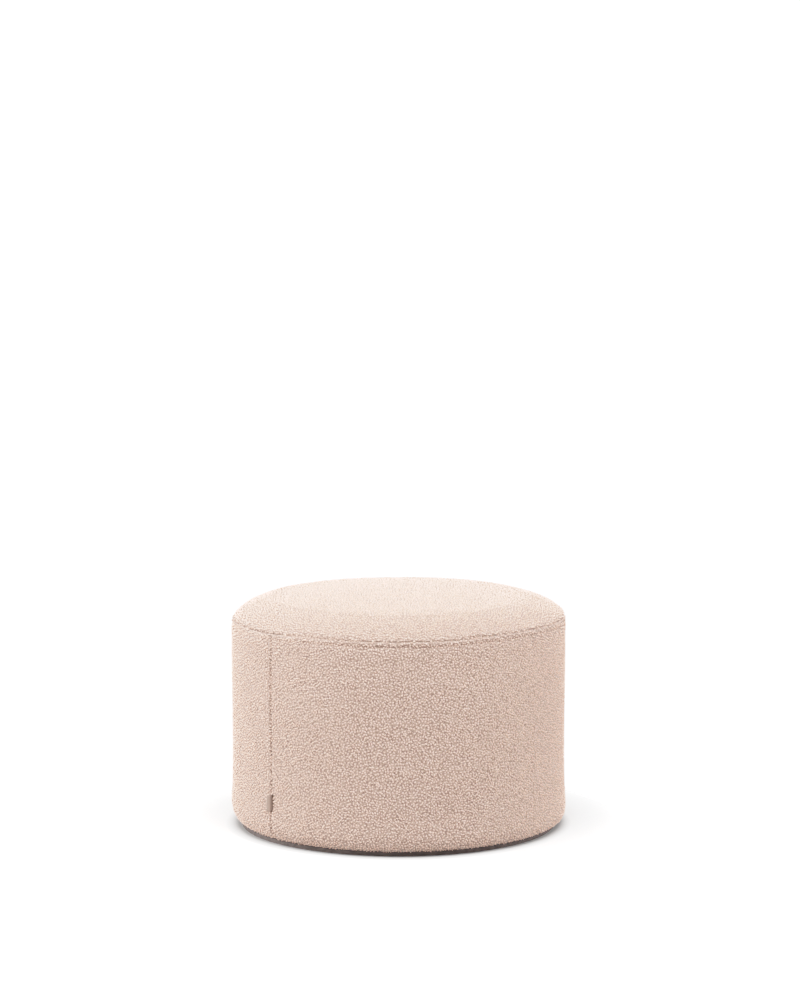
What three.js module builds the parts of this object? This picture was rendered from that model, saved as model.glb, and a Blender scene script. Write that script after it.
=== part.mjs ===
// A round footstool: a padded drum covered in short curly pile cloth, standing on a dark board
// that is set back under it. Millimetres, +Z up. The origin is on the floor under the middle,
// and the front is the -Y side. Azimuths are degrees from the front, positive to the right.
import * as THREE from 'three';

// Driving dimensions of the drum, over its pile
const RADIUS = 300;
const HEIGHT = 420;
const FLOOR_GAP = 8;
const HEM_ROLL = 18;
const HEM_ROLL_SIDE = 5;
const SEAM_HEIGHT = 373.5;
const SEAM_PINCH = 4;
const SEAM_LEAN = 0.5;
const SHOULDER_WIDTH = 57;
const SHOULDER_POWER = 1.55;
const SHOULDER_LEAN = 2.2;
const SHOULDER_LEAN_SIDE = 1.7;
const CROWN = 8;
const SWELL_BROAD = 0.5;
const SWELL_NARROW = 0.35;

// Seams: the allowance is turned to one side and stitched down, so the cloth over it stands proud
const ALLOWANCE = 8;
const SEAM_MARGIN = 5;
const RIDGE = 1.2;
const STITCH_DENT = 0.8;
const STITCH_WIDTH = 4;
const GROOVE_DEPTH = 3;
const GROOVE_HALF_WIDTH = 1;
const GROOVE_LIP = 0.9;
const CLOSING_SEAM_TOP = -48.1;
const CLOSING_SEAM_FOOT = -48.5;

// The folded tab in the closing seam, and how far the seam gapes beside it
const TAB_LOW = 60;
const TAB_HIGH = 89;
const TAB_REACH = 6.2;
const TAB_LAYER = 1;
const TAB_FOLD_GAP = 0.4;
const TAB_CLEAR_LEFT = 1.7;
const TAB_GAPE_RIGHT = 4;
const TAB_TAPER = 6;

// The board under the padding
const BOARD_RADIUS = 282;

// Clearance between pieces that touch, and how finely round things are cut
const PARTING = 0.3;
const WALL_COLUMNS = 74;
const HEM_STEPS = 5;
const SHOULDER_STEPS = 9;
const CROWN_RINGS = [0.82, 0.62, 0.4, 0.2];
const BOARD_SIDES = 72;

// The top seam runs unevenly: how far it rises above its mean height, and how deep the stitching
// under it is drawn in, by azimuth.
const SEAM_COURSE = [
  { azimuth: -150, rise: 1.0, dent: 0.9 },
  { azimuth: -95, rise: -1.5, dent: 0.7 },
  { azimuth: -55, rise: -3.0, dent: 0.4 },
  { azimuth: -33, rise: 1.2, dent: 0.4 },
  { azimuth: -8, rise: -0.3, dent: 0.9 },
  { azimuth: 14, rise: -0.4, dent: 2.0 },
  { azimuth: 38, rise: 2.8, dent: 2.0 },
  { azimuth: 64, rise: 4.0, dent: 1.8 },
  { azimuth: 100, rise: 1.6, dent: 1.2 },
  { azimuth: 150, rise: -0.6, dent: 1.0 },
];

// The wall between hem and seam: how far it is set in from the full radius at each height.
const WALL_ROWS = [
  { height: 40, inset: -0.5 },
  { height: 54, inset: -0.6 },
  { height: 60, inset: -0.5 },
  { height: 75, inset: 0.0 },
  { height: 89, inset: 0.4 },
  { height: 95, inset: 0.6 },
  { height: 125, inset: 0.9 },
  { height: 165, inset: 0.9 },
  { height: 205, inset: 0.6 },
  { height: 245, inset: 0.3 },
  { height: 285, inset: 0.1 },
  { height: 320, inset: 0.1 },
  { height: 348, inset: 0.5 },
];

const radians = THREE.MathUtils.degToRad;
const degrees = THREE.MathUtils.radToDeg;
const smooth = THREE.MathUtils.smoothstep;

// A value of SEAM_COURSE at any azimuth, eased from one row to the next right round the stool.
function seamCourse(azimuth, key) {
  const count = SEAM_COURSE.length;
  const start = SEAM_COURSE[0].azimuth;
  const turned = start + THREE.MathUtils.euclideanModulo(azimuth - start, 360);
  const after = SEAM_COURSE.findIndex((row) => row.azimuth > turned);
  const next = after < 0 ? { ...SEAM_COURSE[0], azimuth: start + 360 } : SEAM_COURSE[after];
  const last = after < 0 ? SEAM_COURSE[count - 1] : SEAM_COURSE[after - 1];
  const share = smooth(turned, last.azimuth, next.azimuth);
  return THREE.MathUtils.lerp(last[key], next[key], share);
}

// Padding swells the cloth unevenly. Opposite sides swell alike, which keeps the drum centred.
function swell(azimuth, height) {
  const turn = radians(azimuth);
  const broad = SWELL_BROAD * Math.sin(2 * turn + 0.8) * Math.cos(height / 95);
  const narrow = SWELL_NARROW * Math.sin(4 * turn - height / 70 + 2.1);
  return broad + narrow - (SWELL_BROAD + SWELL_NARROW) / 2;
}

// The shoulder of the top is fuller on the right than on the left. The seam takes SEAM_LEAN of it.
function shoulderLean(azimuth) {
  return -SHOULDER_LEAN + SHOULDER_LEAN_SIDE * Math.sin(radians(azimuth));
}

// The hem rolls in more tightly on the right than on the left.
function hemRoll(azimuth) {
  return HEM_ROLL - HEM_ROLL_SIDE * Math.sin(radians(azimuth));
}

// The closing seam runs up the wall almost plumb.
function closingSeamAt(height) {
  return THREE.MathUtils.lerp(CLOSING_SEAM_FOOT, CLOSING_SEAM_TOP, Math.min(height / SEAM_HEIGHT, 1));
}

// 1 at the tab's height, easing to 0 just above and below it.
function besideTab(height) {
  return smooth(height, TAB_LOW - TAB_TAPER, TAB_LOW) * (1 - smooth(height, TAB_HIGH, TAB_HIGH + TAB_TAPER));
}

// The columns of the skin: a few follow the closing seam and the ridge on its left, and the
// others stand evenly round the rest. Offsets are millimetres along the wall from the seam.
function skinColumns(height) {
  const left = THREE.MathUtils.lerp(GROOVE_HALF_WIDTH, TAB_CLEAR_LEFT, besideTab(height));
  const right = THREE.MathUtils.lerp(GROOVE_HALF_WIDTH, TAB_GAPE_RIGHT, besideTab(height));
  const columns = [
    { offset: -ALLOWANCE - SEAM_MARGIN, out: 0 },
    { offset: -ALLOWANCE - STITCH_WIDTH / 2, out: 0 },
    { offset: -ALLOWANCE, out: -STITCH_DENT },
    { offset: -ALLOWANCE * 0.75, out: 0.6 * RIDGE },
    { offset: -ALLOWANCE * 0.5, out: RIDGE },
    { offset: -left - GROOVE_LIP, out: 0.6 * RIDGE },
    { offset: -left, out: -GROOVE_DEPTH },
    { offset: right, out: -GROOVE_DEPTH },
    { offset: right + GROOVE_LIP, out: 0.2 * RIDGE },
    { offset: ALLOWANCE, out: 0 },
    { offset: ALLOWANCE + SEAM_MARGIN, out: 0 },
  ];
  const first = ALLOWANCE + SEAM_MARGIN;
  const rest = 2 * Math.PI * RADIUS - 2 * first;
  for (let i = 1; i <= WALL_COLUMNS; i += 1) {
    columns.push({ offset: first + (rest * i) / (WALL_COLUMNS + 1), out: 0 });
  }
  return columns;
}

// One ring of the wall's skin, from the values of its row.
function wallRing(row) {
  const { radius, height, rise = 0, lean = 0, ridge = 0, dent = 0, relief = 1 } = row;
  return skinColumns(height).map((column) => {
    const azimuth = closingSeamAt(height) + degrees(column.offset / RADIUS);
    const bulge = swell(azimuth, height) + ridge - dent * seamCourse(azimuth, 'dent');
    const reach = radius + lean * shoulderLean(azimuth) + bulge + relief * column.out;
    return around(azimuth, reach, height + rise * seamCourse(azimuth, 'rise'));
  });
}

// One ring of the top's skin. It has the wall's columns, so the two meet evenly at the seam.
function topRing(row) {
  const { radius, height, rise = 1, lean = 0, swelling = 1 } = row;
  return skinColumns(SEAM_HEIGHT).map((column) => {
    const azimuth = closingSeamAt(SEAM_HEIGHT) + degrees(column.offset / RADIUS);
    const reach = radius + lean * shoulderLean(azimuth) + swelling * swell(azimuth, SEAM_HEIGHT);
    return around(azimuth, reach, height + rise * seamCourse(azimuth, 'rise'));
  });
}

// A point at an azimuth, a distance from the axis and a height.
function around(azimuth, reach, height) {
  const turn = radians(azimuth);
  return new THREE.Vector3(reach * Math.sin(turn), -reach * Math.cos(turn), height);
}

// A closed skin over rings stacked from the bottom up, each closed off to a point on the axis.
function closedSkin(rings, lowHeight, highHeight) {
  const count = rings[0].length;
  const points = [...rings.flat(), new THREE.Vector3(0, 0, lowHeight), new THREE.Vector3(0, 0, highHeight)];
  const low = points.length - 2;
  const high = points.length - 1;
  const topmost = (rings.length - 1) * count;
  const faces = [];
  for (let j = 0; j < count; j += 1) {
    const next = (j + 1) % count;
    faces.push(low, next, j);
    for (let base = 0; base < topmost; base += count) {
      faces.push(base + j, base + next, base + count + next);
      faces.push(base + j, base + count + next, base + count + j);
    }
    faces.push(high, topmost + j, topmost + next);
  }
  const geometry = new THREE.BufferGeometry().setFromPoints(points);
  geometry.setIndex(faces);
  geometry.computeVertexNormals();
  return geometry;
}

// The hem rolls from the flat underside up to the wall in a quarter circle. share runs from 0,
// where it leaves the underside, to 1 at the wall.
function hemRing(share) {
  const turn = share * (Math.PI / 2);
  return skinColumns(0).map((column) => {
    const azimuth = closingSeamAt(0) + degrees(column.offset / RADIUS);
    const roll = hemRoll(azimuth);
    const bulge = share * (swell(azimuth, FLOOR_GAP + roll) + column.out);
    const reach = RADIUS - roll * (1 - Math.sin(turn)) + bulge;
    return around(azimuth, reach, FLOOR_GAP + roll * (1 - Math.cos(turn)));
  });
}

// Under the top seam: the stitching is drawn in, and the cloth over the allowance stands proud.
function allowanceRows() {
  const below = (distance) => SEAM_HEIGHT - distance;
  return [
    { inset: 0.6, height: below(ALLOWANCE + 4), rise: 0.8, lean: 0.3 },
    { inset: 0.7, height: below(ALLOWANCE), dent: 1, relief: 0.7 },
    { inset: 0.5, height: below(ALLOWANCE * 0.72), ridge: 0.8 * RIDGE, relief: 0.6 },
    { inset: 0.5, height: below(ALLOWANCE * 0.4), ridge: RIDGE, relief: 0.5 },
    { inset: 1.5, height: below(ALLOWANCE * 0.15), ridge: RIDGE, relief: 0.3 },
    { inset: SEAM_PINCH, height: below(PARTING / 2), relief: 0 },
  ].map(({ inset, ...row }) => ({ radius: RADIUS - inset, rise: 1, lean: SEAM_LEAN, ...row }));
}

function sidePanel() {
  const hem = Array.from({ length: HEM_STEPS + 1 }, (_, i) => hemRing(i / HEM_STEPS));
  const wall = WALL_ROWS.map(({ height, inset }) => wallRing({ radius: RADIUS - inset, height }));
  const allowance = allowanceRows().map(wallRing);
  return closedSkin([...hem, ...wall, ...allowance], FLOOR_GAP, SEAM_HEIGHT - PARTING / 2);
}

// The rows of the top, from the seam up over the shoulder to the crown.
function topRows() {
  const rows = [
    { radius: RADIUS - SEAM_PINCH, height: SEAM_HEIGHT + PARTING / 2, lean: SEAM_LEAN },
    { radius: RADIUS - 1.6, height: SEAM_HEIGHT + 1.8, lean: 0.75 },
  ];
  const shoulderFoot = SEAM_HEIGHT + 4;
  const shoulderHeight = HEIGHT - CROWN - shoulderFoot;
  const inner = RADIUS - SHOULDER_WIDTH;
  for (let i = 0; i <= SHOULDER_STEPS; i += 1) {
    const share = i / SHOULDER_STEPS;
    const turn = share * (Math.PI / 2);
    rows.push({
      radius: inner + (SHOULDER_WIDTH - 0.5) * Math.cos(turn) ** (2 / SHOULDER_POWER),
      height: shoulderFoot + shoulderHeight * Math.sin(turn) ** (2 / SHOULDER_POWER),
      rise: 1 - share,
      lean: 1,
      swelling: 1 - 0.5 * share,
    });
  }
  for (const share of CROWN_RINGS) {
    rows.push({
      radius: inner * share,
      height: HEIGHT - CROWN * share * share,
      rise: 0,
      lean: share,
      swelling: 0.5 * share,
    });
  }
  return rows;
}

function topPanel() {
  return closedSkin(topRows().map(topRing), SEAM_HEIGHT + PARTING / 2, HEIGHT);
}

// The floor of the closing seam's groove, measured from the axis.
function grooveFloor(height) {
  const inset = WALL_ROWS.find((row) => row.height >= height).inset;
  return RADIUS - inset + swell(closingSeamAt(height), height) - GROOVE_DEPTH;
}

// The tape is folded over on itself with both ends in the seam. In this section x runs to the
// left along the wall and y outwards, and the fold is at the outer end.
function tabSection(rootDepth) {
  const centre = new THREE.CatmullRomCurve3([
    new THREE.Vector3(0, -rootDepth, 0),
    new THREE.Vector3(0, 0.8, 0),
    new THREE.Vector3(0.25, 3.5, 0),
    new THREE.Vector3(0.9, TAB_REACH, 0),
  ]);
  const steps = 8;
  const along = Array.from({ length: steps + 1 }, (_, i) => {
    const point = centre.getPoint(i / steps);
    const run = centre.getTangent(i / steps);
    return { point, run, left: new THREE.Vector3(run.y, -run.x, 0) };
  });
  const side = (distance) => along.map(({ point, left }) => point.clone().addScaledVector(left, distance));
  const fold = (distance) => {
    const { point, run, left } = along[steps];
    return [-0.6, 0, 0.6].map((lean) => point.clone()
      .addScaledVector(left, distance * Math.sin(lean))
      .addScaledVector(run, Math.abs(distance) * Math.cos(lean)));
  };
  const outer = TAB_FOLD_GAP / 2 + TAB_LAYER;
  const inner = TAB_FOLD_GAP / 2;
  return new THREE.Shape([
    ...side(-outer),
    ...fold(outer),
    ...side(outer).reverse(),
    ...side(inner),
    ...fold(-inner),
    ...side(-inner).reverse(),
  ].map(({ x, y }) => new THREE.Vector2(x, y)));
}

function seamTab(seat) {
  const section = tabSection(RADIUS - seat);
  return new THREE.ExtrudeGeometry(section, { depth: TAB_HIGH - TAB_LOW, bevelEnabled: false });
}

function footBoard() {
  const geometry = new THREE.CylinderGeometry(BOARD_RADIUS, BOARD_RADIUS, FLOOR_GAP - PARTING, BOARD_SIDES);
  geometry.rotateX(Math.PI / 2);
  return geometry;
}

const pileCloth = { color: 0xd9bfb1, roughness: 0.95, metalness: 0 };
const tabTape = { color: 0xb8aa9e, roughness: 0.8, metalness: 0 };
const darkBoard = { color: 0x2b2725, roughness: 0.85, metalness: 0 };

function piece(name, geometry, finish) {
  const mesh = new THREE.Mesh(geometry, new THREE.MeshStandardMaterial(finish));
  mesh.name = name;
  return mesh;
}

const footstool = new THREE.Group();
footstool.add(piece('top_panel', topPanel(), pileCloth));
footstool.add(piece('side_panel', sidePanel(), pileCloth));

const board = piece('foot_board', footBoard(), darkBoard);
board.position.z = (FLOOR_GAP - PARTING) / 2;
footstool.add(board);

const tabSeat = Math.max(grooveFloor(TAB_LOW), grooveFloor(TAB_HIGH)) + PARTING;
const tabAzimuth = radians(closingSeamAt((TAB_LOW + TAB_HIGH) / 2));
const tab = piece('seam_tab', seamTab(tabSeat), tabTape);
tab.position.set(RADIUS * Math.sin(tabAzimuth), -RADIUS * Math.cos(tabAzimuth), TAB_LOW);
tab.rotation.z = tabAzimuth + Math.PI;
footstool.add(tab);

export default footstool;
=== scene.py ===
# %% [markdown]
# # A round footstool in curly pile cloth
#
# The stool is a drum about 600 mm across and 420 mm high. A padded side and a padded round top
# are sewn together near the upper edge, and both stand on a dark board that is set back under
# them. The cloth is a teddy cloth: short curls of yarn stand close together on a knitted back.
#
# The construction comes in as a fixed frame with true sizes. All that is made here is fitted to
# it: two cushions, the curls on them, the folded tab in the side's seam, and every finish.

import math

import bpy
import numpy as np
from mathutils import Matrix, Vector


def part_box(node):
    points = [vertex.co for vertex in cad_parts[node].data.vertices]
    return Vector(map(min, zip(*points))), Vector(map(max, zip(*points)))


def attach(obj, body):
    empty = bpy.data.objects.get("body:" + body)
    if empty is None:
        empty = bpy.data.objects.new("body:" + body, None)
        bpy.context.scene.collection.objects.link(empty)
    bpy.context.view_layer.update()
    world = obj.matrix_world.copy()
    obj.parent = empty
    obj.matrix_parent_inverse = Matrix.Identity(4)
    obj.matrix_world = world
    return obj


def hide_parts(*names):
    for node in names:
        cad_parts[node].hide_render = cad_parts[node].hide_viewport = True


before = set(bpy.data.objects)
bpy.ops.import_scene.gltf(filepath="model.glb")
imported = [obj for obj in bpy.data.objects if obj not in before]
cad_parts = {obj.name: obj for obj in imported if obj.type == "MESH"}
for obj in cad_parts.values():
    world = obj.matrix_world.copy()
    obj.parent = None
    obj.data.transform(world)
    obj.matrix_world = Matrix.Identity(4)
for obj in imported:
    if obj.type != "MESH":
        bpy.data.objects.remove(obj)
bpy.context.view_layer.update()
MM = 0.001

# %% [markdown]
# ## The camera
#
# A product picture is taken from far away with a long lens, which keeps the sides of a drum
# nearly parallel. The camera stands in front, a little above the stool, and looks slightly over
# it, so the stool sits in the lower half of the picture. The picture is 800 by 1000 pixels, and
# Blender lays the sensor's width along the longer side.

# %% The camera
CAMERA_DISTANCE = 5.5
CAMERA_RISE = math.radians(10.4985)
LOOK_OVER = math.radians(3.9596)
LOOK_RIGHT = math.radians(0.0277)
AIM_HEIGHT = 0.2
CAMERA_REACH = 100
SENSOR = 36.0
LENS = 109.8936


def make_camera():
    back = math.cos(CAMERA_RISE) * CAMERA_DISTANCE
    up = math.sin(CAMERA_RISE) * CAMERA_DISTANCE
    tilt = math.pi / 2 - CAMERA_RISE + LOOK_OVER
    place = (0, -back, AIM_HEIGHT + up)
    bpy.ops.object.camera_add(location=place, rotation=(tilt, 0, -LOOK_RIGHT))
    camera = bpy.context.object
    camera.data.sensor_width = SENSOR
    camera.data.lens = LENS
    camera.data.clip_end = CAMERA_REACH
    return camera


camera = make_camera()
bpy.context.scene.camera = camera
print("lens, mm:", round(camera.data.lens, 1))

# %% [markdown]
# ## Working on a mesh by places
#
# Sewing happens at places: a seam runs at this height, a tab sits at that angle. So the helpers
# read a piece's vertices as an array of places and put them back after they are moved. Angles
# round the stool are azimuths: degrees from the front, positive to the right.

# %% Helpers for places
def make_active(piece):
    if bpy.context.mode != "OBJECT":
        bpy.ops.object.mode_set(mode="OBJECT")
    bpy.ops.object.select_all(action="DESELECT")
    piece.select_set(True)
    bpy.context.view_layer.objects.active = piece


def points_of(piece):
    flat = np.empty(len(piece.data.vertices) * 3)
    piece.data.vertices.foreach_get("co", flat)
    return flat.reshape(-1, 3)


def normals_of(piece):
    flat = np.empty(len(piece.data.vertices) * 3)
    piece.data.vertex_normals.foreach_get("vector", flat)
    return flat.reshape(-1, 3)


def put_points(piece, points):
    piece.data.vertices.foreach_set("co", points.ravel())
    piece.data.update()


def corners_of(mesh):
    """The vertex at each corner of each face, face by face."""
    corners = np.empty(len(mesh.loops), int)
    mesh.loops.foreach_get("vertex_index", corners)
    return corners


def add_values(mesh, name, values):
    """A named number for each vertex, which a finish can read."""
    attribute = mesh.attributes.new(name, "FLOAT", "POINT")
    attribute.data.foreach_set("value", values.astype(np.float32))


def azimuth_of(points):
    return np.degrees(np.arctan2(points[:, 0], -points[:, 1]))


def degrees_from(middle, azimuth):
    """How far an azimuth lies to the right of middle, from -180 to 180."""
    return (azimuth - middle + 180) % 360 - 180


def reach_of(points):
    return np.hypot(points[:, 0], points[:, 1])


def outward(points):
    """The level direction away from the stool's axis, at each place."""
    level = points * (1, 1, 0)
    return level / np.maximum(reach_of(points), MM)[:, None]


def ease(value, start, end):
    """0 before start, 1 after end, and smooth between them."""
    share = np.clip((value - start) / (end - start), 0, 1)
    return share * share * (3 - 2 * share)


# %% [markdown]
# ## Where the seams run
#
# The top seam isn't level: the cloth was pulled by hand, so it rises and falls by a few
# millimetres round the stool. The frame holds that course. The side panel's top face is a fan of
# triangles round the axis, and the other corners of those triangles are the seam. The closing
# seam runs up the side almost plumb, to the left of the front.

# %% The seams
CLOSING_SEAM_FOOT = -48.5
CLOSING_SEAM_TOP = -48.1
ALLOWANCE = 8 * MM

side_low, side_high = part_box("side_panel")
radius = (side_high.x - side_low.x) / 2
floor_gap = side_low.z


def top_edge_of_side():
    """Azimuths, rising, and heights of the ring where the side panel meets the top."""
    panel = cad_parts["side_panel"]
    faces = points_of(panel)[corners_of(panel.data)].reshape(-1, 3, 3)
    on_axis = np.hypot(faces[..., 0], faces[..., 1]) < MM
    fan = on_axis.any(1) & (faces[..., 2].min(1) > side_high.z / 2)
    ring = faces[fan][~on_axis[fan]]
    azimuth, first = np.unique(azimuth_of(ring).round(2), return_index=True)
    return azimuth, ring[first, 2]


ring_azimuth, ring_height = top_edge_of_side()
seam_level = ring_height.mean()


def above_top_seam(points):
    """How far above the top seam a place lies."""
    return points[:, 2] - np.interp(azimuth_of(points), ring_azimuth, ring_height, period=360)


def closing_seam_at(height):
    """Azimuth of the closing seam at a height."""
    share = np.clip(height / seam_level, 0, 1)
    return CLOSING_SEAM_FOOT + (CLOSING_SEAM_TOP - CLOSING_SEAM_FOOT) * share


def beside_closing_seam(points):
    """How far to the right of the closing seam a place lies, along the wall."""
    apart = degrees_from(closing_seam_at(points[:, 2]), azimuth_of(points))
    return np.radians(apart) * radius


print("top seam, mm:", (ring_height.min() / MM).round(1), "to", (ring_height.max() / MM).round(1))

# %% [markdown]
# ## The cushions
#
# The side and the top are foam under tight cloth. Each starts as a copy of its solid in the
# frame, which has the outer size over the pile. A voxel remesh gives it small even faces. Where
# nobody sees them, between the cushions and under the stool, a tenth of the faces is enough. Then
# the outer skin is drawn in by the depth of the pile, so the curls have room to stand.
#
# Cloth simulation gives tight padding its soft swell: the skin starts a little smaller in the
# middle of each panel, and pressure pushes it out while the seam and the hidden flat faces are
# held. A cap on the movement keeps the drum at its true size.

# %% Copy and remesh
TINY = 0.01 * MM
VOXEL = 5 * MM
PILE = 3 * MM
EDGE_INSIDE = radius - 16 * MM
EDGE_BAND = 6 * MM
UNDERSIDE_BAND = 2 * MM
SEAM_SHARE = -0.4
HIDDEN_FACES = 0.1


def even_copy(node, name):
    piece = bpy.data.objects.new(name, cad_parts[node].data.copy())
    bpy.context.collection.objects.link(piece)
    make_active(piece)
    bpy.ops.object.mode_set(mode="EDIT")
    bpy.ops.mesh.select_all(action="SELECT")
    bpy.ops.mesh.remove_doubles(threshold=TINY)
    bpy.ops.object.mode_set(mode="OBJECT")
    remesh = piece.modifiers.new("Even faces", "REMESH")
    remesh.mode = "VOXEL"
    remesh.voxel_size = VOXEL
    bpy.ops.object.modifier_apply(modifier=remesh.name)
    print(name, "faces:", len(piece.data.polygons))
    return piece


def hidden(points):
    """True on the flat faces that nobody sees: between the cushions, and under the stool."""
    between = np.abs(above_top_seam(points)) < EDGE_BAND
    under = points[:, 2] < floor_gap + UNDERSIDE_BAND
    return (reach_of(points) < EDGE_INSIDE) & (between | under)


def select_faces(piece, chosen):
    """Goes into edit mode with the faces selected whose centres are chosen."""
    centres = np.empty(len(piece.data.polygons) * 3)
    piece.data.polygons.foreach_get("center", centres)
    make_active(piece)
    bpy.context.tool_settings.mesh_select_mode = (False, False, True)
    bpy.ops.object.mode_set(mode="EDIT")
    bpy.ops.mesh.select_all(action="DESELECT")
    bpy.ops.object.mode_set(mode="OBJECT")
    piece.data.polygons.foreach_set("select", chosen(centres.reshape(-1, 3)))
    bpy.ops.object.mode_set(mode="EDIT")


def thin_hidden(piece):
    """Leaves only a tenth of the faces where nobody sees them."""
    select_faces(piece, hidden)
    bpy.ops.mesh.decimate(ratio=HIDDEN_FACES)
    bpy.ops.object.mode_set(mode="OBJECT")
    print(piece.name, "faces without the hidden ones:", len(piece.data.polygons))


def draw_in(piece, depth):
    """Moves the shown skin in by depth.

    At the seam it goes a little out instead, and keeps its height, so the two cloths meet there.
    """
    points = points_of(piece)
    from_seam = np.abs(above_top_seam(points))
    share = SEAM_SHARE + (1 - SEAM_SHARE) * ease(from_seam, 0, EDGE_BAND / 2)
    step = normals_of(piece) * (depth * share * ~hidden(points))[:, None]
    step[from_seam < EDGE_BAND, 2] = 0
    put_points(piece, points - step)


side_cushion = even_copy("side_panel", "side_cushion")
top_cushion = even_copy("top_panel", "top_cushion")
for piece in (side_cushion, top_cushion):
    thin_hidden(piece)
    draw_in(piece, PILE)

# %% Swell the padding
LAST_FRAME = 12
SWELL = 2 * MM
SWELL_RUN = 70 * MM


def panel_middle(points):
    """0 at the seam and at the hem, 1 well away from them."""
    from_seam = ease(np.abs(above_top_seam(points)), EDGE_BAND, SWELL_RUN / 2)
    from_hem = ease(points[:, 2] - floor_gap, EDGE_BAND, SWELL_RUN)
    return np.minimum(from_seam, from_hem) * ~hidden(points)


def swell(piece, pressure):
    draw_in(piece, SWELL * panel_middle(points_of(piece)))
    start = points_of(piece)
    held = piece.vertex_groups.new(name="Held")
    fixed = hidden(start) | (np.abs(above_top_seam(start)) < EDGE_BAND)
    held.add(np.flatnonzero(fixed).tolist(), 1.0, "REPLACE")
    make_active(piece)
    cloth = piece.modifiers.new("Padding", "CLOTH")
    cloth.settings.vertex_group_mass = held.name
    cloth.settings.use_pressure = True
    cloth.settings.uniform_pressure_force = pressure
    cloth.settings.quality = 3
    cloth.settings.effector_weights.gravity = 0
    cloth.collision_settings.use_collision = False
    for number in range(1, LAST_FRAME + 1):
        bpy.context.scene.frame_set(number)
    bpy.ops.object.modifier_apply(modifier=cloth.name)
    bpy.context.scene.frame_set(1)
    piece.vertex_groups.clear()
    moved = points_of(piece) - start
    length = np.linalg.norm(moved, axis=1)
    capped = np.minimum(1, SWELL / np.maximum(length, TINY))
    put_points(piece, start + moved * capped[:, None])
    swelled = np.percentile(np.minimum(length, SWELL), [10, 50, 90])
    print(piece.name, "swelled by, mm:", (swelled / MM).round(1))


swell(side_cushion, pressure=80)
swell(top_cushion, pressure=4)

# %% [markdown]
# ## Seams and stitching
#
# Where two cloths are sewn, their edges (the allowance) are folded to one side inside and often
# stitched down. On the outside that shows as three things: a sharp valley at the seam, a soft
# ridge over the folded allowance, and a shallow dent along the stitching. Under the top seam
# the allowance is turned down, and at the closing seam it is turned to the left. The tab holds
# the closing seam open a little. The valleys need finer faces than the voxels give, so the skin
# is subdivided along them first.

# %% Finer faces along the seams
SEAM_NEAR = 14 * MM
SEAM_REACHES = (SEAM_NEAR, 12 * MM)


def near_a_seam(points, reach):
    from_top_seam = above_top_seam(points)
    from_closing_seam = beside_closing_seam(points)
    along_top = (from_top_seam > -reach) & (from_top_seam < reach / 2)
    along_closing = (from_closing_seam > -reach) & (from_closing_seam < reach / 2)
    return (along_top | along_closing & (from_top_seam < 0)) & ~hidden(points)


def refine_seams(piece):
    for reach in SEAM_REACHES:
        select_faces(piece, lambda centres: near_a_seam(centres, reach))
        bpy.ops.mesh.subdivide(number_cuts=1)
        bpy.ops.object.mode_set(mode="OBJECT")
    piece.data.calc_loop_triangles()
    print(piece.name, "triangles with fine seams:", len(piece.data.loop_triangles))


for piece in (side_cushion, top_cushion):
    refine_seams(piece)

# %% Draw the seams in
TOP_VALLEY = {"depth": 0.5 * MM, "width": 1.6 * MM}
CLOSING_VALLEY = {"depth": 2.8 * MM, "width": 1.8 * MM}
STITCH_WIDTH = 1.8 * MM
# How deep a seam must draw the skin in for the darkest painted shade on the back.
SEAM_SHADE_DEPTH = 4 * MM
CLOSING_STITCH_DEPTH = 1.2 * MM
RIDGE = 1.0 * MM
GAPE = {"depth": 3.6 * MM, "right": 4.2 * MM, "width": 2.6 * MM, "fade": 3 * MM}
STITCH_DENTS = (  # in degrees and mm
    {"azimuth": -150, "depth": 0.9},
    {"azimuth": -95, "depth": 0.7},
    {"azimuth": -55, "depth": 0.4},
    {"azimuth": -33, "depth": 0.6},
    {"azimuth": -18, "depth": 1.6},
    {"azimuth": 0, "depth": 1.8},
    {"azimuth": 38, "depth": 1.8},
    {"azimuth": 64, "depth": 1.7},
    {"azimuth": 100, "depth": 1.1},
    {"azimuth": 150, "depth": 1.0},
)

tab_low, tab_high = (corner.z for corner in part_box("seam_tab"))


def valley(distance, width):
    return np.exp(-((distance / width) ** 2))


def ridge(distance):
    """1 over the middle of the folded allowance, 0 at the seam and at the stitching."""
    share = np.clip(distance / ALLOWANCE, 0, 1)
    return np.sin(math.pi * share)


def stitch_dent(points):
    """How deep the stitching under the top seam is drawn in, which differs round the stool."""
    azimuths = [dent["azimuth"] for dent in STITCH_DENTS]
    depths = [dent["depth"] for dent in STITCH_DENTS]
    return np.interp(azimuth_of(points), azimuths, depths, period=360) * MM


def tab_gape(points):
    """The tab holds the closing seam open a little, to its right."""
    level = ease(points[:, 2], tab_low - GAPE["fade"], tab_low + GAPE["fade"])
    level -= ease(points[:, 2], tab_high - GAPE["fade"], tab_high + GAPE["fade"])
    beside = beside_closing_seam(points) - GAPE["right"]
    return GAPE["depth"] * level * valley(beside, GAPE["width"])


def stitched_down(distance, depth):
    """The dent of the stitching less the ridge of the allowance, at a distance past the seam."""
    return depth * valley(distance - ALLOWANCE, STITCH_WIDTH) - RIDGE * ridge(distance)


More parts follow.
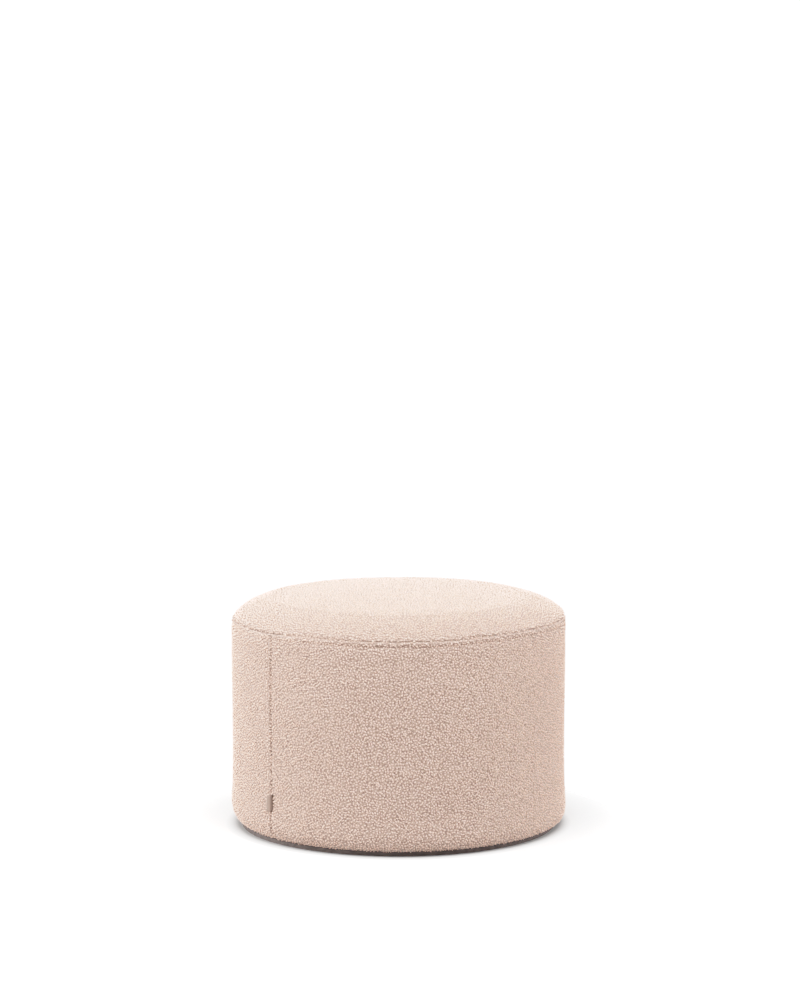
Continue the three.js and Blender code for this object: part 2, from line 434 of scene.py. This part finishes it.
def draw_in_seams(piece):
    points = points_of(piece)
    rise, beside = above_top_seam(points), beside_closing_seam(points)
    below_top = rise < 0
    inward = TOP_VALLEY["depth"] * valley(rise, TOP_VALLEY["width"])
    under_seam = stitched_down(-rise, stitch_dent(points))
    closing = CLOSING_VALLEY["depth"] * valley(beside, CLOSING_VALLEY["width"])
    closing += stitched_down(-beside, CLOSING_STITCH_DEPTH)
    fade = ease(-rise, 0, ALLOWANCE)
    inward += below_top * (under_seam + closing * fade)
    inward += below_top * tab_gape(points)
    inward[hidden(points)] = 0
    put_points(piece, points - outward(points) * inward[:, None])
    # Painted shade: the back's colour gets darker the deeper a seam draws the skin in.
    add_values(piece.data, "seam_shade", np.clip(inward / SEAM_SHADE_DEPTH, 0, 1))


for piece in (side_cushion, top_cushion):
    draw_in_seams(piece)
    piece.data.shade_smooth()

# %% [markdown]
# ## One curl of the pile
#
# A curl is a piece of soft yarn bent into an open ring that lies on the cloth, with both ends
# going down into the back. There are tens of thousands of them, so each may have only a few
# faces. A three-sided section is spun round in four steps (spin turns clockwise about its axis,
# so the axis points down), its two ends are drawn to points, and the ends are lowered: 18
# triangles. Four curls of different bend and sweep are enough, since each copy is turned, leaned
# and sized on its own.

# %% Model the curls
YARN = 1.15 * MM
CURL_STEPS = 4
END_DROP = 2.4 * MM
CURLS = (
    {"bend": 1.1 * MM, "sweep": 230},
    {"bend": 1.35 * MM, "sweep": 200},
    {"bend": 1.7 * MM, "sweep": 165},
    {"bend": 2.1 * MM, "sweep": 130},
)


def draw_to_a_point(piece, chosen):
    make_active(piece)
    bpy.context.tool_settings.mesh_select_mode = (True, False, False)
    bpy.ops.object.mode_set(mode="EDIT")
    bpy.ops.mesh.select_all(action="DESELECT")
    bpy.ops.object.mode_set(mode="OBJECT")
    piece.data.vertices.foreach_set("select", chosen)
    bpy.ops.object.mode_set(mode="EDIT")
    bpy.ops.mesh.merge(type="CENTER")
    bpy.ops.object.mode_set(mode="OBJECT")


def along_curl(curl, step):
    """Degrees round the ring, from half a step before the section where the curl starts."""
    points = points_of(curl)
    return (np.degrees(np.arctan2(points[:, 1], points[:, 0])) % 360 + step / 2) % 360


def lower_the_ends(curl, step, sweep):
    """Lifts the curl into the pile, drops its ends into the back and centres it."""
    from_middle = 2 * np.abs((along_curl(curl, step) - step / 2) / sweep - 0.5)
    points = points_of(curl)
    points[:, 2] += PILE - YARN - END_DROP * from_middle ** 3
    points[:, :2] -= points[:, :2].mean(0)
    put_points(curl, points)


def model_curl(bend, sweep):
    bpy.ops.object.select_all(action="DESELECT")
    section = {"location": (bend, 0, 0), "rotation": (math.pi / 2, 0, 0)}
    bpy.ops.mesh.primitive_circle_add(vertices=3, radius=YARN, **section)
    curl = bpy.context.object
    bpy.ops.object.transform_apply(location=True, rotation=True, scale=True)
    bpy.ops.object.mode_set(mode="EDIT")
    turn = math.radians(sweep)
    bpy.ops.mesh.spin(steps=CURL_STEPS, angle=turn, center=(0, 0, 0), axis=(0, 0, -1))
    bpy.ops.object.mode_set(mode="OBJECT")
    step = sweep / CURL_STEPS
    draw_to_a_point(curl, along_curl(curl, step) < step)
    angle = along_curl(curl, step)
    draw_to_a_point(curl, (angle > sweep) & (angle < sweep + step))
    lower_the_ends(curl, step, sweep)
    make_active(curl)
    bpy.ops.object.mode_set(mode="EDIT")
    bpy.ops.mesh.select_all(action="SELECT")
    bpy.ops.mesh.quads_convert_to_tris()
    bpy.ops.mesh.normals_make_consistent(inside=False)
    bpy.ops.object.mode_set(mode="OBJECT")
    return curl


curls = []
for shape in CURLS:
    curl = model_curl(**shape)
    curls.append((points_of(curl), corners_of(curl.data).reshape(-1, 3)))
    bpy.data.objects.remove(curl)
print("curl:", len(curls[0][0]), "points,", len(curls[0][1]), "triangles")

# %% [markdown]
# ## Where the curls stand
#
# Curls that stood on a grid would show rows, and plain random places would leave bald spots. So
# many places are thrown at the skin in random order, and one stays only if the ones taken near
# it are further away than the spacing. The seams and the tab's place are left bare, because
# sewing parts the pile there. The random numbers are seeded, so the cloth is the same on each
# run.

# %% Throw and thin the places
SPACING = 3.9 * MM
THROWS = 12
NEIGHBOURS = [(x, y, z) for x in (-1, 0, 1) for y in (-1, 0, 1) for z in (-1, 0, 1)]


def throw_places(piece, rng):
    """Random places on the skin and the normals there."""
    mesh = piece.data
    mesh.calc_loop_triangles()
    corner = np.empty(len(mesh.loop_triangles) * 3, int)
    mesh.loop_triangles.foreach_get("vertices", corner)
    corner = corner.reshape(-1, 3)
    points = points_of(piece)
    triangles = points[corner]
    shown = ~hidden(triangles.mean(1))
    corner, triangles = corner[shown], triangles[shown]
    first_edge = triangles[:, 1] - triangles[:, 0]
    second_edge = triangles[:, 2] - triangles[:, 0]
    area = np.linalg.norm(np.cross(first_edge, second_edge), axis=1) / 2
    count = int(THROWS * area.sum() / SPACING ** 2)
    chosen = rng.choice(len(area), count, p=area / area.sum())
    weight = rng.dirichlet((1, 1, 1), count)[:, :, None]
    places = (triangles[chosen] * weight).sum(1)
    normals = (normals_of(piece)[corner[chosen]] * weight).sum(1)
    return places, normals / np.linalg.norm(normals, axis=1)[:, None]


def thin_out(places):
    """Indices of the places that stay.

    Each is further than the spacing from the last place taken in its cell and the cells round it.
    """
    cells = [tuple(cell) for cell in np.floor(places / SPACING).astype(int).tolist()]
    kept, taken = [], {}
    for index, (place, (x, y, z)) in enumerate(zip(places.tolist(), cells)):
        near = (taken.get((x + a, y + b, z + c)) for a, b, c in NEIGHBOURS)
        if all(other is None or math.dist(place, other) > SPACING for other in near):
            kept.append(index)
            taken[x, y, z] = place
    return np.array(kept)


# %% Leave the seams and the tab's place bare
BARE = {"top": 0.1 * MM, "closing": 1.4 * MM, "stitch": 0.9 * MM}
TAB_BARE = (-3.4 * MM, 7.4 * MM)
TAB_MARGIN = 2 * MM
DEEP_DENT = 1.5 * MM


def covered(points):
    """True where the pile stands."""
    rise, beside = above_top_seam(points), beside_closing_seam(points)
    below_top, deep = rise < 0, stitch_dent(points) > DEEP_DENT
    at_top = np.abs(rise) < BARE["top"]
    at_closing = below_top & (np.abs(beside) < BARE["closing"])
    at_stitches = below_top & deep & (np.abs(rise + ALLOWANCE) < BARE["stitch"])
    level = (points[:, 2] > tab_low - TAB_MARGIN) & (points[:, 2] < tab_high + TAB_MARGIN)
    at_tab = level & (beside > TAB_BARE[0]) & (beside < TAB_BARE[1])
    return ~(at_top | at_closing | at_stitches | at_tab)


def pile_places(piece, seed):
    rng = np.random.default_rng(seed)
    places, normals = throw_places(piece, rng)
    stands = covered(places)
    places, normals = places[stands], normals[stands]
    kept = thin_out(places)
    print(piece.name, "curls:", len(kept))
    return places[kept], normals[kept]


side_places = pile_places(side_cushion, seed=11)
top_places = pile_places(top_cushion, seed=12)

# %% [markdown]
# ## Joining the curls
#
# One object for each curl would be far too many, so the copies are joined into a few meshes: a
# quarter of the side each, the shoulder of the top, and its middle. Each copy is laid out in
# directions of its own: up is the normal of the skin, leaned a little, and the turn about it is
# random. Every curl also gets a tone, a random value that its colour is taken from, and each
# point has its height in the pile, from which the roots get a painted shade. Toward the hem the
# pile is shorter, and a curl that would lie across a seam is pushed back to its own side.

# %% Join curls into one mesh
LEAN = 0.18
SEAM_GAPS = {"top": -0.7 * MM, "closing": 0.65 * MM, "stitch": 0.2 * MM}
HEM_SIZE, HEM_RUN = 0.68, 9 * MM
SIZES = (0.88, 1.12)


def curl_frames(normals, rng):
    """Three directions for each curl: across, along and up, turned and leaned at random."""
    count = len(normals)
    up = normals + rng.normal(0, LEAN, (count, 3))
    up /= np.linalg.norm(up, axis=1)[:, None]
    across = np.cross(up, rng.normal(0, 1, (count, 3)))
    across /= np.linalg.norm(across, axis=1)[:, None]
    return np.stack([across, np.cross(up, across), up], axis=1)


def push_across(distance, points, places, gap, shift=0):
    """How far each point of a curl must move to stay on its own side of a seam.

    With a gap below zero it may reach over the seam by that much.
    """
    home = (distance(places) + shift)[:, None]
    side = np.where(home < 0, -1, 1)
    now = distance(points.reshape(-1, 3)).reshape(points.shape[:2]) + shift
    return side * np.maximum(gap - now * side, 0) * (np.abs(home) < SEAM_NEAR)


def keep_to_own_side(points, places):
    """Points of the curls, pushed back where a curl would lie across a seam or the stitching."""
    on_side = (above_top_seam(places) < 0)[:, None]
    right = push_across(beside_closing_seam, points, places, SEAM_GAPS["closing"])
    turn = right * on_side / radius
    level = np.stack([points[..., 1], -points[..., 0], 0 * points[..., 0]], axis=-1)
    points = points - level * turn[..., None]
    lift = push_across(above_top_seam, points, places, SEAM_GAPS["top"])
    stitched = on_side & (stitch_dent(places) > DEEP_DENT)[:, None]
    past_stitches = push_across(above_top_seam, points, places, SEAM_GAPS["stitch"], ALLOWANCE)
    lift += past_stitches * stitched
    return points + lift[..., None] * (0, 0, 1)


def add_map(mesh, flat):
    """A UV map from one flat place for each vertex, fitted to the unit square."""
    low, high = flat.min(0), flat.max(0)
    layer = mesh.uv_layers.new(name="OFBake")
    layer.data.foreach_set("uv", ((flat - low) / (high - low))[corners_of(mesh)].ravel())


def join_curls(name, places, normals, flat_map, seed):
    rng = np.random.default_rng(seed)
    kinds = rng.integers(0, len(curls), len(places))
    size = rng.uniform(*SIZES, len(places))
    size *= HEM_SIZE + (1 - HEM_SIZE) * ease(places[:, 2] - floor_gap, 0, HEM_RUN)
    directions = curl_frames(normals, rng)
    shapes = np.stack([points for points, _ in curls])[kinds] * size[:, None, None]
    points = places[:, None, :] + np.einsum("kpi,kij->kpj", shapes, directions)
    points = keep_to_own_side(points, places)
    steps = np.arange(len(places)) * shapes.shape[1]
    faces = np.stack([corners for _, corners in curls])[kinds] + steps[:, None, None]
    mesh = bpy.data.meshes.new(name)
    mesh.from_pydata(points.reshape(-1, 3), [], faces.reshape(-1, 3))
    mesh.shade_smooth()
    add_values(mesh, "tone", np.repeat(rng.random(len(places)), shapes.shape[1]))
    add_values(mesh, "height", np.clip(shapes[..., 2].ravel() / PILE, 0, 1))
    add_map(mesh, flat_map(points.reshape(-1, 3)))
    piece = bpy.data.objects.new(name, mesh)
    bpy.context.collection.objects.link(piece)
    print(name, "triangles:", len(mesh.polygons))
    return piece


# %% Divide the pile between the pieces
QUARTERS = (
    {"name": "side_pile_front", "middle": 0, "seed": 20},
    {"name": "side_pile_right", "middle": 90, "seed": 26},
    {"name": "side_pile_back", "middle": 180, "seed": 25},
    {"name": "side_pile_left", "middle": -90, "seed": 21},
)
HALF_QUARTER = 45
SHOULDER_INSIDE = radius - 57 * MM


def unrolled(middle):
    """A flat map of the wall: along it from the middle azimuth, and up."""
    def flat_map(points):
        along = np.radians(degrees_from(middle, azimuth_of(points))) * radius
        return np.stack([along, points[:, 2]], axis=1)
    return flat_map


def from_above(points):
    return points[:, :2]


pile = []
places, normals = side_places
for quarter in QUARTERS:
    name, middle, seed = quarter["name"], quarter["middle"], quarter["seed"]
    chosen = np.abs(degrees_from(middle, azimuth_of(places))) <= HALF_QUARTER
    pile.append(join_curls(name, places[chosen], normals[chosen], unrolled(middle), seed))
places, normals = top_places
inner = reach_of(places) < SHOULDER_INSIDE
pile.append(join_curls("top_pile_shoulder", places[~inner], normals[~inner], from_above, seed=31))
pile.append(join_curls("top_pile_middle", places[inner], normals[inner], from_above, seed=32))
print("pile, triangles:", sum(len(piece.data.polygons) for piece in pile))

# %% [markdown]
# ## The tab
#
# A strip of smooth woven tape is folded in two and caught in the closing seam. A flat grid stands
# for the strip. It is laid along a U-shaped course: out from the seam, round the fold, and back
# in beside itself. The tab is bare, and what lies deeper than the pile's surface is painted with
# the shade of the gap beside it.

# %% Model the tab
TAPE = 0.7 * MM
TAB_REACH = 5.0 * MM
TAB_LEAN = 2.8 * MM
TAB_ROOT = 2.5 * MM
FOLD_RADIUS = 0.75 * MM
TAB_STEPS = 36
TAB_ROWS = 12
TAB_CURVE = 1.5
LEAN_END = 1.2
TAB_SHADE = (1.4 * MM, 3.0 * MM)


def tab_course(distance):
    """Across and out from the seam, at a distance along the tape from its first end."""
    straight = TAB_ROOT + TAB_REACH
    turn = np.clip((distance - straight) / FOLD_RADIUS, 0, math.pi)
    back = np.maximum(distance - straight - math.pi * FOLD_RADIUS, 0)
    out = np.minimum(distance, straight) - TAB_ROOT + FOLD_RADIUS * np.sin(turn) - back
    across = FOLD_RADIUS * -np.cos(turn)
    lean = TAB_LEAN * np.clip(out / TAB_REACH, 0, LEAN_END) ** TAB_CURVE
    return across - lean, out


def model_tab():
    tab_height = tab_high - tab_low
    tape_length = 2 * (TAB_ROOT + TAB_REACH) + math.pi * FOLD_RADIUS
    bpy.ops.object.select_all(action="DESELECT")
    bpy.ops.mesh.primitive_grid_add(x_subdivisions=TAB_STEPS, y_subdivisions=TAB_ROWS, size=1)
    tab = bpy.context.object
    tab.name = "folded_tab"
    flat = points_of(tab) + (0.5, 0, 0)
    across, out = tab_course(flat[:, 0] * tape_length)
    height = (tab_low + tab_high) / 2 + flat[:, 1] * tab_height
    azimuth = np.radians(closing_seam_at(height)) + across / radius
    reach = tab_seat + out
    put_points(tab, np.stack([reach * np.sin(azimuth), -reach * np.cos(azimuth), height], axis=1))
    thick = tab.modifiers.new("Thickness", "SOLIDIFY")
    thick.thickness, thick.offset = TAPE, 0
    make_active(tab)
    bpy.ops.object.modifier_apply(modifier=thick.name)
    bpy.ops.object.mode_set(mode="EDIT")
    bpy.ops.mesh.select_all(action="SELECT")
    bpy.ops.mesh.normals_make_consistent(inside=False)
    bpy.ops.object.mode_set(mode="OBJECT")
    tab.data.shade_smooth()
    # Painted shade: the tape is darker where it lies deeper than the pile's surface.
    add_values(tab.data, "root", 1 - ease(reach_of(points_of(tab)) - tab_seat, *TAB_SHADE))
    print("tab, flat mm:", round(tab_height / MM, 1), "by", round(tape_length / MM, 1))
    return tab, (tab_height, tape_length)


tab_seat = radius - PILE
folded_tab, tab_flat = model_tab()

# %% [markdown]
# ## The finishes
#
# Four finishes are needed: the curls' yarn, the cloth's back between the curls, the smooth tape
# and the dark board. Yarn is rough and slightly furry, which sheen gives. Its colour runs from
# a warm beige in the depth, which is painted shade, to a pale pinkish cream on the crests, and no
# two curls are quite alike. The back is darker, as painted shade between the curls, and darkest,
# with more painted shade, where a seam draws it in.

# %% A short way to build a material
# The mix node has a set of sockets for each kind of value. These numbers are the colour's.
MIX_SHARE, MIX_FIRST, MIX_SECOND, MIX_RESULT = 0, 6, 7, 2


def new_material(name, roughness, sheen):
    material = bpy.data.materials.new(name)
    material.use_nodes = True
    shader = material.node_tree.nodes["Principled BSDF"]
    shader.inputs["Roughness"].default_value = roughness
    shader.inputs["Sheen Weight"].default_value = sheen
    shader.inputs["Sheen Roughness"].default_value = 0.5
    shader.inputs["Specular IOR Level"].default_value = 0.2
    return material, material.node_tree, shader


def add_node(tree, kind, **values):
    node = tree.nodes.new(kind)
    for key, value in values.items():
        if key in node.inputs:
            node.inputs[key].default_value = value
        else:
            setattr(node, key, value)
    return node


def add_noise(tree, size, detail=2.0):
    """Noise on the object's own coordinates whose grains are about size across."""
    place = add_node(tree, "ShaderNodeTexCoord")
    noise = add_node(tree, "ShaderNodeTexNoise", Scale=1 / size, Detail=detail)
    tree.links.new(place.outputs["Object"], noise.inputs["Vector"])
    return noise.outputs["Fac"]


def mix_colours(tree, share, first, second):
    """The share is a socket. A colour is a socket or a tuple, which stays a plain value."""
    mix = add_node(tree, "ShaderNodeMix", data_type="RGBA")
    tree.links.new(share, mix.inputs[MIX_SHARE])
    for number, colour in ((MIX_FIRST, first), (MIX_SECOND, second)):
        if isinstance(colour, tuple):
            mix.inputs[number].default_value = (*colour, 1)
        else:
            tree.links.new(colour, mix.inputs[number])
    return mix.outputs[MIX_RESULT]


def spread(tree, value, low, high, to_low=0.0, to_high=1.0):
    """Maps low to to_low and high to to_high, and holds the ends."""
    span = {"From Min": low, "From Max": high, "To Min": to_low, "To Max": to_high}
    node = add_node(tree, "ShaderNodeMapRange", **span)
    tree.links.new(value, node.inputs["Value"])
    return node.outputs["Result"]


def add_bump(tree, shader, height, depth, strength=1.0):
    bump = add_node(tree, "ShaderNodeBump", Strength=strength, Distance=depth)
    tree.links.new(height, bump.inputs["Height"])
    tree.links.new(bump.outputs["Normal"], shader.inputs["Normal"])


# %% The curls' yarn
# The deep colour is painted shade on the lower parts of each curl; the other two are the yarn's
# own tones, picked at random for each curl.
YARN_DEPTH_SHADE = (0.62, 0.375, 0.283)
YARN_DARKER_TONE = (0.92, 0.56, 0.425)
YARN_LIGHTER_TONE = (0.95, 0.59, 0.45)
YARN_SHADE_HEIGHTS = (0.45, 1.0)
YARN_FUZZ = 0.5 * MM


def yarn_material():
    material, tree, shader = new_material("pile yarn", roughness=0.9, sheen=0.5)
    tone = add_node(tree, "ShaderNodeAttribute", attribute_name="tone").outputs["Fac"]
    height = add_node(tree, "ShaderNodeAttribute", attribute_name="height").outputs["Fac"]
    yarn = mix_colours(tree, tone, YARN_DARKER_TONE, YARN_LIGHTER_TONE)
    # Painted shade: the lower a point lies in the pile, the more of the deep colour it gets.
    yarn = mix_colours(tree, spread(tree, height, *YARN_SHADE_HEIGHTS), YARN_DEPTH_SHADE, yarn)
    tree.links.new(yarn, shader.inputs["Base Color"])
    fuzz = add_noise(tree, YARN_FUZZ, detail=3.0)
    add_bump(tree, shader, fuzz, depth=0.25 * MM, strength=0.6)
    return material


# %% The cloth's back, the tape and the board
# The back is painted darker than the yarn as shade between the curls: dark pits in a grain, and
# lighter patches where lower curls show.
BACK_PIT_SHADE = (0.24, 0.158, 0.125)
BACK_LIGHT = (0.46, 0.31, 0.248)
# Painted shade in the seams' valleys.
BACK_SEAM_SHADE = (0.12, 0.075, 0.055)
PIT_GRAIN = 2.6 * MM
PIT_GRAIN_RANGE = (0.40, 0.58)


def back_material():
    material, tree, shader = new_material("pile cloth back", roughness=0.95, sheen=0.2)
    grain = spread(tree, add_noise(tree, PIT_GRAIN, detail=1.0), *PIT_GRAIN_RANGE)
    seam_shade = add_node(tree, "ShaderNodeAttribute", attribute_name="seam_shade").outputs["Fac"]
    # Painted shade: the grain mixes dark pits into the back's colour between the curls.
    pit_shade = mix_colours(tree, grain, BACK_PIT_SHADE, BACK_LIGHT)
    tree.links.new(mix_colours(tree, seam_shade, pit_shade, BACK_SEAM_SHADE), shader.inputs["Base Color"])
    add_bump(tree, shader, grain, depth=0.8 * MM)
    return material


TAPE_WARP = (0.30, 0.213, 0.17)
TAPE_WEFT = (0.23, 0.162, 0.13)
# Painted shade for the part of the tape that lies deep in the gap.
TAPE_ROOT_SHADE = (0.19, 0.128, 0.1)
TAPE_RIB = 0.9 * MM
WAVE_AT_SCALE_1 = 0.314


def tape_material():
    material, tree, shader = new_material("woven tape", roughness=0.65, sheen=0.15)
    place = add_node(tree, "ShaderNodeTexCoord")
    scale = WAVE_AT_SCALE_1 / TAPE_RIB
    rib = add_node(tree, "ShaderNodeTexWave", bands_direction="Z", Scale=scale, Distortion=0.3)
    tree.links.new(place.outputs["Object"], rib.inputs["Vector"])
    root = add_node(tree, "ShaderNodeAttribute", attribute_name="root").outputs["Fac"]
    weave = mix_colours(tree, rib.outputs["Fac"], TAPE_WEFT, TAPE_WARP)
    tree.links.new(mix_colours(tree, root, weave, TAPE_ROOT_SHADE), shader.inputs["Base Color"])
    add_bump(tree, shader, rib.outputs["Fac"], depth=0.12 * MM)
    return material


BOARD_DARK = (0.042, 0.032, 0.029)
BOARD_WORN = (0.085, 0.064, 0.059)
BOARD_GRAIN = 60 * MM
GRAIN_STRETCH = (1, 12, 12)
GRAIN_RANGE = (0.3, 0.7)


def board_material():
    material, tree, shader = new_material("dark board", roughness=0.7, sheen=0.0)
    place = add_node(tree, "ShaderNodeTexCoord")
    stretch = add_node(tree, "ShaderNodeMapping", Scale=GRAIN_STRETCH)
    tree.links.new(place.outputs["Object"], stretch.inputs["Vector"])
    grain = add_node(tree, "ShaderNodeTexNoise", Scale=1 / BOARD_GRAIN, Detail=4.0)
    tree.links.new(stretch.outputs["Vector"], grain.inputs["Vector"])
    share = spread(tree, grain.outputs["Fac"], *GRAIN_RANGE)
    tree.links.new(mix_colours(tree, share, BOARD_DARK, BOARD_WORN), shader.inputs["Base Color"])
    add_bump(tree, shader, grain.outputs["Fac"], depth=0.3 * MM, strength=0.5)
    return material


def finish_with(piece, material):
    piece.data.materials.clear()
    piece.data.materials.append(material)


yarn = yarn_material()
back = back_material()
for piece in pile:
    finish_with(piece, yarn)
for piece in (side_cushion, top_cushion):
    finish_with(piece, back)
finish_with(folded_tab, tape_material())
finish_with(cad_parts["foot_board"], board_material())
print("materials:", sorted(material.name for material in bpy.data.materials))

# %% [markdown]
# ## Floor and light
#
# The picture is bright and soft, on pure white. The floor is a white disc with a painted shadow
# in the narrow gap under the stool's edge, and it fades into the white surround a little further
# out. It throws no soft light back at the stool. A card under it does, which is greyer, so the
# lower wall isn't too bright. A lamp near the stool, above and in front, nearly washes out the
# top. Large lamps at both sides lighten the rims, and the left one is stronger. The front gets
# the least light, so the curls show best there.

# %% The floor and the card
FLOOR_WHITE = 0.93
FLOOR_SOLID = 0.31
FLOOR_END = 0.45
# The contact shade is a painted shadow under the stool's edge.
CONTACT_SHADE = 0.28
CONTACT_REACH = (0.287, 0.312)
CARD_WHITE = 0.58
CARD_END = 1.5
CARD_LEVEL = -1 * MM
DISC_CORNERS = 96


def add_disc(name, end, material):
    bpy.ops.object.select_all(action="DESELECT")
    bpy.ops.mesh.primitive_circle_add(vertices=DISC_CORNERS, radius=end, fill_type="NGON")
    disc = bpy.context.object
    disc.name = name
    finish_with(disc, material)
    return disc


def floor_material():
    """White, with a painted shadow close round the stool, and fading out further away."""
    material, tree, shader = new_material("white floor", roughness=0.9, sheen=0.0)
    place = add_node(tree, "ShaderNodeTexCoord")
    length = add_node(tree, "ShaderNodeVectorMath", operation="LENGTH")
    tree.links.new(place.outputs["Object"], length.inputs[0])
    alpha = spread(tree, length.outputs["Value"], FLOOR_SOLID, FLOOR_END, to_low=1, to_high=0)
    tree.links.new(alpha, shader.inputs["Alpha"])
    # Painted shadow: the floor is darker in a ring under the stool's edge.
    clear = spread(tree, length.outputs["Value"], *CONTACT_REACH)
    shade = mix_colours(tree, clear, (CONTACT_SHADE,) * 3, (FLOOR_WHITE,) * 3)
    tree.links.new(shade, shader.inputs["Base Color"])
    return material


def card_material():
    material, _, shader = new_material("bounce card", roughness=0.9, sheen=0.0)
    shader.inputs["Base Color"].default_value = (CARD_WHITE, CARD_WHITE, CARD_WHITE, 1)
    return material


floor = add_disc("white floor", FLOOR_END, floor_material())
floor.visible_diffuse = False
floor.visible_shadow = False
card = add_disc("bounce card", CARD_END, card_material())
card.location.z = CARD_LEVEL
card.visible_camera = False
print("floor, m across:", 2 * FLOOR_END, "card:", 2 * CARD_END)

# %% The lamps
LAMPS = (
    {"name": "overhead", "place": (0, -0.9, 1.6), "size": (1.6, 1.0), "power": 90},
    {"name": "front", "place": (0, -2.2, 2.2), "size": (2.4, 1.2), "power": 48},
    {"name": "left", "place": (-2.6, 0.3, 1.0), "size": (1.8, 1.6), "power": 245},
    {"name": "right", "place": (2.6, 0.4, 1.0), "size": (1.8, 1.6), "power": 138},
)
WORLD_LIGHT = 0.35
WORLD_SEEN = 4.0
FILM_WHITE = 3.4
FILM_CURVE = (
    {"light": 0.457, "paper": 0.366},
    {"light": 0.916, "paper": 0.60},
    {"light": 1.45, "paper": 0.765},
    {"light": 2.2, "paper": 0.88},
    {"light": 2.7, "paper": 0.925},
    {"light": 3.1, "paper": 0.96},
)
ALL_CHANNELS = 3


def add_lamp(name, place, size, power):
    aim = np.array((0, 0, AIM_HEIGHT)) - place
    bpy.ops.object.light_add(type="AREA", location=place)
    lamp = bpy.context.object
    lamp.name = name
    lamp.data.shape = "RECTANGLE"
    lamp.data.size, lamp.data.size_y = size
    lamp.data.energy = power
    tilt = math.atan2(math.hypot(aim[0], aim[1]), -aim[2])
    lamp.rotation_euler = (tilt, 0, math.atan2(-aim[0], aim[1]))
    lamp.visible_camera = False


def light_the_world():
    world = bpy.data.worlds.new("soft white")
    world.use_nodes = True
    tree = world.node_tree
    background = tree.nodes["Background"]
    background.inputs["Color"].default_value = (1, 1, 1, 1)
    seen = add_node(tree, "ShaderNodeLightPath").outputs["Is Camera Ray"]
    strength = spread(tree, seen, 0, 1, WORLD_LIGHT, WORLD_SEEN)
    tree.links.new(strength, background.inputs["Strength"])
    bpy.context.scene.world = world


def load_film():
    """A film curve: what is bright is held back, and only FILM_WHITE and above is pure white."""
    settings = bpy.context.scene.view_settings
    settings.view_transform = "Standard"
    settings.use_curve_mapping = True
    film = settings.curve_mapping
    film.white_level = (FILM_WHITE,) * 3
    for tone in FILM_CURVE:
        film.curves[ALL_CHANNELS].points.new(tone["light"] / FILM_WHITE, tone["paper"])
    film.update()


for lamp in LAMPS:
    add_lamp(**lamp)
light_the_world()
load_film()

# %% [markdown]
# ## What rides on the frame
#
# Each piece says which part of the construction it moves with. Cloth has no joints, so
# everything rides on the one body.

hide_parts("side_panel")
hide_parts("top_panel")
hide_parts("seam_tab")
for piece in (side_cushion, top_cushion, *pile):
    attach(piece, "root")
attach(folded_tab, "root")
